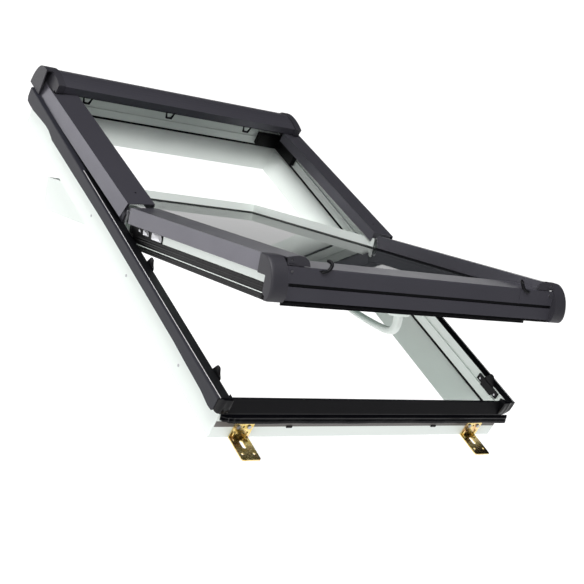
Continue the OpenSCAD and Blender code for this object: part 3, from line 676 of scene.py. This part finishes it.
class RW_OT_hardware(bpy.types.Operator):
    """Small fittings: hooks as a round section along a curve, rounded keeper plates, and posts on the jambs"""

    bl_idname = "roof_window.hardware"
    bl_label = "Small fittings"

    def rod(self, path, radius, flat=1.0):
        """A round section of varying radius carried along a curve of points, closed by its tapered ends."""
        p = np.asarray(path, dtype=float)
        step = np.gradient(p, axis=0)
        step /= np.linalg.norm(step, axis=1)[:, None]
        u = np.cross(step, (0.0, 1.0, 0.0))
        u /= np.maximum(np.linalg.norm(u, axis=1)[:, None], 1e-9)
        w = np.cross(step, u)
        a = np.linspace(0, 2 * math.pi, 18, endpoint=False)
        radius = np.broadcast_to(radius, len(p))
        rows = [p[i] + radius[i] * (np.outer(np.cos(a), u[i]) + flat * np.outer(np.sin(a), w[i]))
                for i in range(len(p))]
        return tube(closed_pose(np.array(rows) * MM))

    def slab(self, side, outline, radius, n, layers):
        """A rounded outline (along Y, up Z) set at each X in turn and scaled there about its middle."""
        ring = rounded(outline, radius, n)
        mid = ring.mean(axis=0)
        return [np.column_stack([np.full(len(ring), side * x), mid + (ring - mid) * k]) * MM for x, k in layers]

    def execute(self, context):
        # a keeper stands 1.7 mm out from the sash side; a post stays 0.5 mm clear of it when the sash is shut
        dished = [(378.0 + out, k)
                  for k, out in ((1.0, 0.02), (1.0, 1.7 - 0.4), (0.97, 1.7 - 0.08), (0.93, 1.7), (0.8, 1.7),
                                 (0.76, 1.7 - 0.35), (0.05, 1.7 - 0.35))]
        eased = ((382.85, 0.02), (382.85, 0.97), (382.5, 1.0), (380.6, 1.0), (380.2, 0.96), (380.2, 0.02))
        for side, label in ((-1, "left"), (1, "right")):
            path = bezier((side * 288, -604.2, 119.0), (side * 276, -604.6, 119.5), (side * 266, -604.6, 126),
                          (side * 264, -602.6, 135), 22)
            tip = bezier((side * 264, -602.6, 135), (side * 263.6, -601.6, 138.5), (side * 265, -597.0, 141.5),
                         (side * 270, -592.0, 141.0), 14)
            radius = np.concatenate([np.linspace(0.8, 3.0, 4), np.linspace(3.2, 3.6, 18), np.full(11, 3.6),
                                     [2.6, 0.9]])
            foot = bezier((side * 292, -603.2, 121), (side * 284, -603.4, 122.5), (side * 278, -603.4, 122.5),
                          (side * 272, -603.2, 121), 14)
            parts = [self.rod(np.concatenate([path, tip[1:]]), radius),
                     self.rod(foot, np.sin(np.linspace(0.2, 2.94, 14)) * 1.6 + 0.2)]
            piece(f"hook_{label}", parts, paint("black_moulding"), "sash")
            plates = []
            for low, high, a, b in ((-166, -122, 85.2, 100.4), (-110, -84, 88.5, 99.5), (-74, -64, 92, 99)):
                outline = [(low, a), (high, a), (high, b), (low + 5, b), (low, b - 5)]
                plates.append(tube(closed_pose(self.slab(side, outline, 2.2, 6, dished))))
            piece(f"keepers_{label}", plates, paint("bright_zinc"), "sash")
            posts = []
            for y in (-520.0, -168.0):
                outline = [(y - 17, 84), (y + 17, 84), (y + 17, 100), (y + 11, 112), (y + 7, 119), (y - 3, 119),
                           (y - 9, 110),
                           (y - 17, 104)]
                posts.append(tube(self.slab(side, outline, 3.0, 5, eased)))
            piece(f"posts_{label}", posts, paint("black_moulding"), "frame")
        return {"FINISHED"}


class RW_OT_stage(bpy.types.Operator):
    """Floor, soft lights, surroundings and the camera"""

    bl_idname = "roof_window.stage"
    bl_label = "Studio"

    def execute(self, context):
        s = context.scene.roof_studio
        f, z = s.floor_size, -s.floor_drop
        floor = make_mesh("floor", [[-f, -f, z], [f, -f, z], [f, f, z], [-f, f, z]], [[0, 1, 2, 3]],
                          self.floor_paint(s.floor_glow), False)
        self.softbox("left_softbox", (-3.0, 2.6, -0.2), (0, 0, 0.1), 3.0, 1.3, s.side_light)
        self.softbox("front_softbox", (-1.6, -4.0, 1.2), (0, 0, 0.0), 2.4, 1.2, s.front_light)
        self.softbox("top_softbox", (-1.2, -0.5, 3.3), (0, 0, 0.0), 2.2, 2.2, s.top_light)
        world = bpy.data.worlds.new("studio")
        world.use_nodes = True
        tree = world.node_tree
        tree.nodes.clear()
        up = tree.nodes.new("ShaderNodeSeparateXYZ")
        tree.links.new(tree.nodes.new("ShaderNodeTexCoord").outputs["Generated"], up.inputs[0])
        ramp = tree.nodes.new("ShaderNodeValToRGB")
        ramp.color_ramp.elements[0].position, ramp.color_ramp.elements[0].color = 0.0, (0.36, 0.362, 0.37, 1)
        ramp.color_ramp.elements[1].position, ramp.color_ramp.elements[1].color = 0.8, (0.4, 0.4, 0.41, 1)
        back = tree.nodes.new("ShaderNodeBackground")
        tree.links.new(up.outputs["Z"], ramp.inputs[0])
        tree.links.new(ramp.outputs[0], back.inputs["Color"])
        tree.links.new(back.outputs[0], tree.nodes.new("ShaderNodeOutputWorld").inputs[0])
        context.scene.world = world
        world.cycles_visibility.glossy = False
        self.camera(context, s.lens)
        context.scene.view_settings.view_transform = "Standard"
        context.scene.view_settings.look = "None"
        return {"FINISHED"}

    def floor_paint(self, glow):
        m = Finish("pale_floor")
        cloud = m.noise(0.8, 2.0)
        m.shader(Base_Color=m.mix(cloud, rgb((0.34, 0.34, 0.34)), rgb((0.36, 0.36, 0.36))), Roughness=0.8,
                 Emission_Color=rgb((1.0, 1.0, 1.0)), Emission_Strength=glow)
        return m.material

    def softbox(self, name, at, towards, width, height, power):
        data = bpy.data.lights.new(name, "AREA")
        data.shape, data.size, data.size_y, data.energy = "RECTANGLE", width, height, power
        obj = bpy.data.objects.new(name, data)
        turn = (Vector(towards) - Vector(at)).to_track_quat("-Z", "Y").to_matrix().to_4x4()
        obj.matrix_world = Matrix.Translation(at) @ turn
        bpy.context.collection.objects.link(obj)

    def camera(self, context, lens):
        data = bpy.data.cameras.new("camera")
        data.lens, data.sensor_width, data.sensor_fit = lens, 36.0, "HORIZONTAL"
        data.clip_start, data.clip_end = 0.05, 200.0
        cam = bpy.data.objects.new("camera", data)
        right, down, ahead = (Vector(v) for v in CAMERA_AXES)
        turn = Matrix((right, -down, -ahead)).transposed().to_4x4()
        cam.matrix_world = Matrix.Translation(CAMERA_AT) @ turn
        context.collection.objects.link(cam)
        context.scene.camera = cam


class RW_PT_panel(bpy.types.Panel):
    """Lists the steps and sizes of the roof window"""

    bl_idname = "RW_PT_panel"
    bl_label = "Roof window"
    bl_space_type, bl_region_type, bl_category = "VIEW_3D", "UI", "Roof window"

    def draw(self, context):
        for step in STEPS:
            self.layout.operator(step.bl_idname)
        for group in (context.scene.roof_window, context.scene.roof_studio):
            for name in group.__annotations__:
                self.layout.prop(group, name)


STEPS = (RW_OT_finishes, RW_OT_corner_caps, RW_OT_apron, RW_OT_seals, RW_OT_handle, RW_OT_gussets, RW_OT_hardware,
         RW_OT_stage)
CLASSES = (WindowColours, StudioSizes, *STEPS, RW_PT_panel)


def register():
    for c in CLASSES:
        bpy.utils.register_class(c)
    bpy.types.Scene.roof_window = PointerProperty(type=WindowColours)
    bpy.types.Scene.roof_studio = PointerProperty(type=StudioSizes)


def unregister():
    del bpy.types.Scene.roof_window, bpy.types.Scene.roof_studio
    for c in reversed(CLASSES):
        bpy.utils.unregister_class(c)


def main():
    register()
    for step in STEPS:
        group, name = step.bl_idname.split(".")
        getattr(getattr(bpy.ops, group), name)()


if __name__ == "__main__":
    main()
